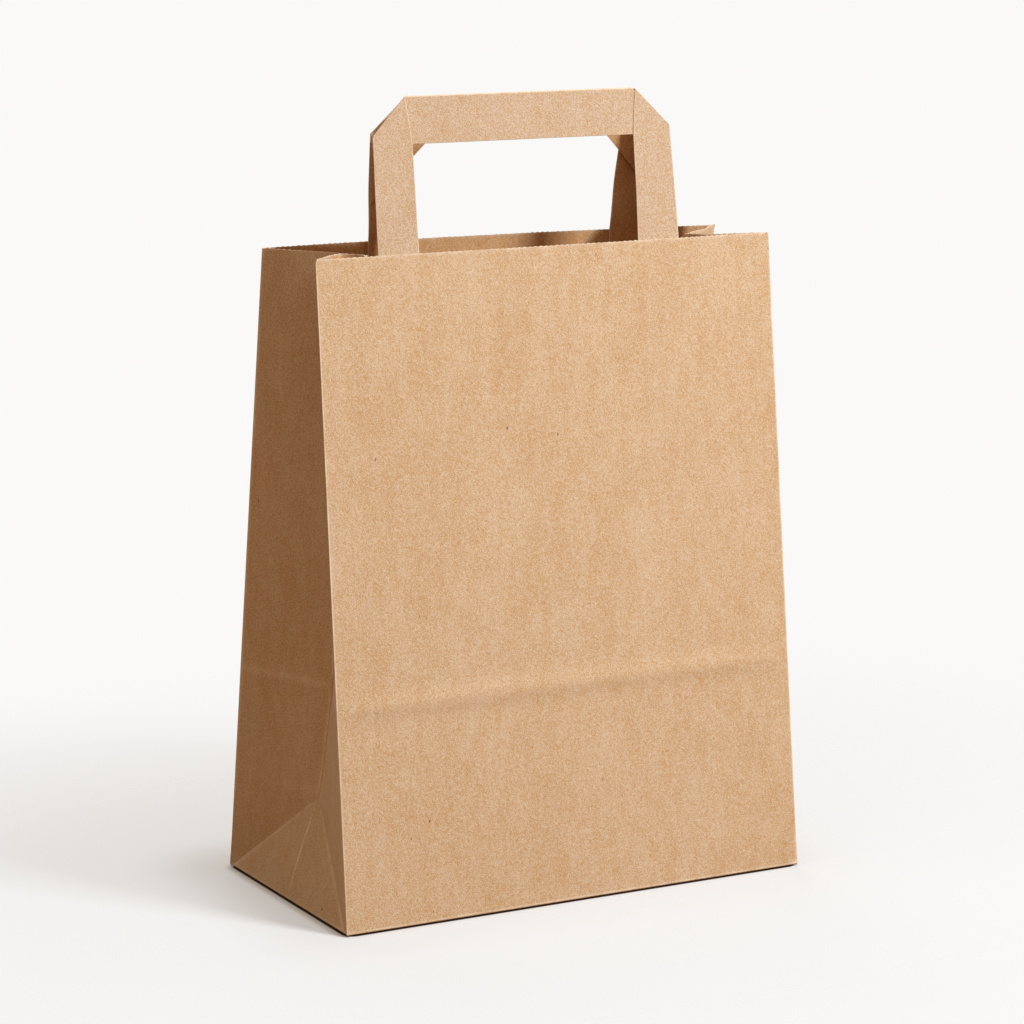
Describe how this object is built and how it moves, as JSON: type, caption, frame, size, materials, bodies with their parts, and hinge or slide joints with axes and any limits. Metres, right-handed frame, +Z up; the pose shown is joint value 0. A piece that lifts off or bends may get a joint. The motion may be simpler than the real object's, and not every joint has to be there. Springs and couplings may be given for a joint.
{
  "type": "flat handle paper bag",
  "caption": "Brown kraft paper carrier bag with a block bottom, folded-in sides and flat folded paper handles.",
  "frame": {"origin": "on the floor under the middle of the bag's base", "axes": "+X along the wide front panel, +Y from the front panel to the rear panel, +Z up"},
  "size_m": [0.26, 0.1399, 0.4018],
  "materials": {
    "kraft_body": "matt",
    "kraft_strip": "matt",
    "kraft_sheet": "matt"
  },
  "bodies": {
    "root": {"bag_body": "kraft_body", "front_handle": "kraft_strip", "rear_handle": "kraft_strip", "front_handle_patch": "kraft_sheet", "rear_handle_patch": "kraft_sheet"}
  },
  "joints": []
}
